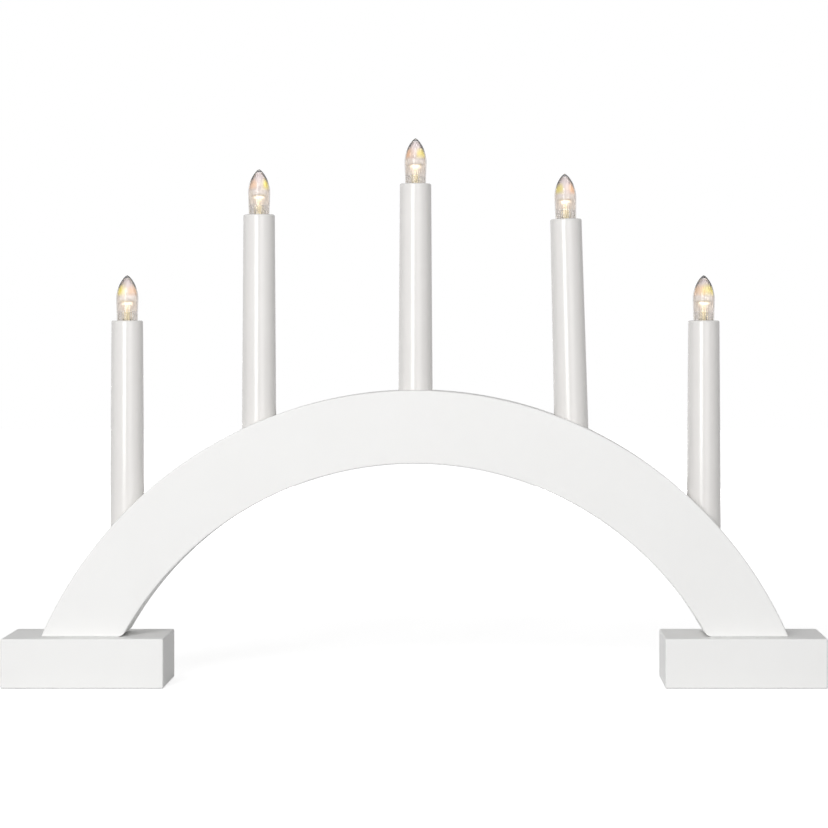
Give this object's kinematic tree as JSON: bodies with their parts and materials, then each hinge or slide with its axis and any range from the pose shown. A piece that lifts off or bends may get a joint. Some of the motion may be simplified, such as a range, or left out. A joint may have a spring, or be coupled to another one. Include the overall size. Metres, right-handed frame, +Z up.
{
  "type": "electric candle arch",
  "caption": "White curved candle arch on block feet, with tapered candle tubes along its top that carry small pointed screw-in lamps.",
  "frame": {"origin": "on the table, under the middle of the arch", "axes": "+X along the arch to the right as seen from the front, +Y to the back, +Z up"},
  "size_m": [0.4142, 0.05, 0.2771],
  "materials": {
    "white_paint": "satin white paint on wood",
    "cover_plastic": "matt white",
    "tube_plastic": "glossy white",
    "holder_plastic": "moulded off-white",
    "contact_brass": "pressed brass",
    "cap_nickel": "nickel plated",
    "clear_envelope": "clear",
    "lit_core": "clear moulded, lit",
    "tip_solder": "solder",
    "screw_steel": "zinc plated",
    "wire_insulation": "white insulation"
  },
  "bodies": {
    "stand": {"arch": "white_paint", "groove_cover": "cover_plastic", "foot_left": "white_paint", "foot_right": "white_paint", "cord_gland": "cover_plastic", "foot_screw_1": "screw_steel", "foot_screw_2": "screw_steel", "foot_screw_3": "screw_steel", "foot_screw_4": "screw_steel", "candle_tube_1": "tube_plastic", "candle_tube_2": "tube_plastic", "candle_tube_3": "tube_plastic", "candle_tube_4": "tube_plastic", "candle_tube_5": "tube_plastic", "lamp_holder_1": "holder_plastic", "lamp_holder_2": "holder_plastic", "lamp_holder_3": "holder_plastic", "lamp_holder_4": "holder_plastic", "lamp_holder_5": "holder_plastic", "screw_shell_1": "contact_brass", "screw_shell_2": "contact_brass", "screw_shell_3": "contact_brass", "screw_shell_4": "contact_brass", "screw_shell_5": "contact_brass", "centre_contact_1": "contact_brass", "centre_contact_2": "contact_brass", "centre_contact_3": "contact_brass", "centre_contact_4": "contact_brass", "centre_contact_5": "contact_brass", "feed_wire": "wire_insulation", "link_wire_1": "wire_insulation", "link_wire_2": "wire_insulation", "link_wire_3": "wire_insulation", "link_wire_4": "wire_insulation", "return_wire": "wire_insulation"},
    "bulb_1_end": {"bulb_tip_1": "tip_solder"},
    "bulb_1": {"bulb_cap_1": "cap_nickel", "bulb_envelope_1": "clear_envelope", "bulb_core_1": "lit_core"},
    "bulb_2_end": {"bulb_tip_2": "tip_solder"},
    "bulb_2": {"bulb_cap_2": "cap_nickel", "bulb_envelope_2": "clear_envelope", "bulb_core_2": "lit_core"},
    "bulb_3_end": {"bulb_tip_3": "tip_solder"},
    "bulb_3": {"bulb_cap_3": "cap_nickel", "bulb_envelope_3": "clear_envelope", "bulb_core_3": "lit_core"},
    "bulb_4_end": {"bulb_tip_4": "tip_solder"},
    "bulb_4": {"bulb_cap_4": "cap_nickel", "bulb_envelope_4": "clear_envelope", "bulb_core_4": "lit_core"},
    "bulb_5_end": {"bulb_tip_5": "tip_solder"},
    "bulb_5": {"bulb_cap_5": "cap_nickel", "bulb_envelope_5": "clear_envelope", "bulb_core_5": "lit_core"}
  },
  "joints": [
    {"name": "bulb_1_lift", "type": "slide", "parent": "stand", "child": "bulb_1_end", "axis": [0, 0, 1], "range_m": [0, 0.00544]},
    {"name": "bulb_1_turn", "type": "hinge", "parent": "bulb_1_end", "child": "bulb_1", "pos_m": [-0.14671, 0, 0.06624], "axis": [0, 0, 1], "range_deg": [0, 1080]},
    {"name": "bulb_2_lift", "type": "slide", "parent": "stand", "child": "bulb_2_end", "axis": [0, 0, 1], "range_m": [0, 0.00544]},
    {"name": "bulb_2_turn", "type": "hinge", "parent": "bulb_2_end", "child": "bulb_2", "pos_m": [-0.0796, 0, 0.12016], "axis": [0, 0, 1], "range_deg": [0, 1080]},
    {"name": "bulb_3_lift", "type": "slide", "parent": "stand", "child": "bulb_3_end", "axis": [0, 0, 1], "range_m": [0, 0.00544]},
    {"name": "bulb_3_turn", "type": "hinge", "parent": "bulb_3_end", "child": "bulb_3", "pos_m": [0, 0, 0.1359], "axis": [0, 0, 1], "range_deg": [0, 1080]},
    {"name": "bulb_4_lift", "type": "slide", "parent": "stand", "child": "bulb_4_end", "axis": [-0.0262, 0, 0.9997], "range_m": [0, 0.00544]},
    {"name": "bulb_4_turn", "type": "hinge", "parent": "bulb_4_end", "child": "bulb_4", "pos_m": [0.0796, 0, 0.11796], "axis": [-0.0262, 0, 0.9997], "range_deg": [0, 1080]},
    {"name": "bulb_5_lift", "type": "slide", "parent": "stand", "child": "bulb_5_end", "axis": [0, 0, 1], "range_m": [0, 0.00544]},
    {"name": "bulb_5_turn", "type": "hinge", "parent": "bulb_5_end", "child": "bulb_5", "pos_m": [0.14671, 0, 0.06624], "axis": [0, 0, 1], "range_deg": [0, 1080]}
  ],
  "couplings": [
    {"joint": "bulb_1_turn", "follows": "bulb_1_lift", "rad_per_m": 3463.7},
    {"joint": "bulb_2_turn", "follows": "bulb_2_lift", "rad_per_m": 3463.7},
    {"joint": "bulb_3_turn", "follows": "bulb_3_lift", "rad_per_m": 3463.7},
    {"joint": "bulb_4_turn", "follows": "bulb_4_lift", "rad_per_m": 3463.7},
    {"joint": "bulb_5_turn", "follows": "bulb_5_lift", "rad_per_m": 3463.7}
  ]
}
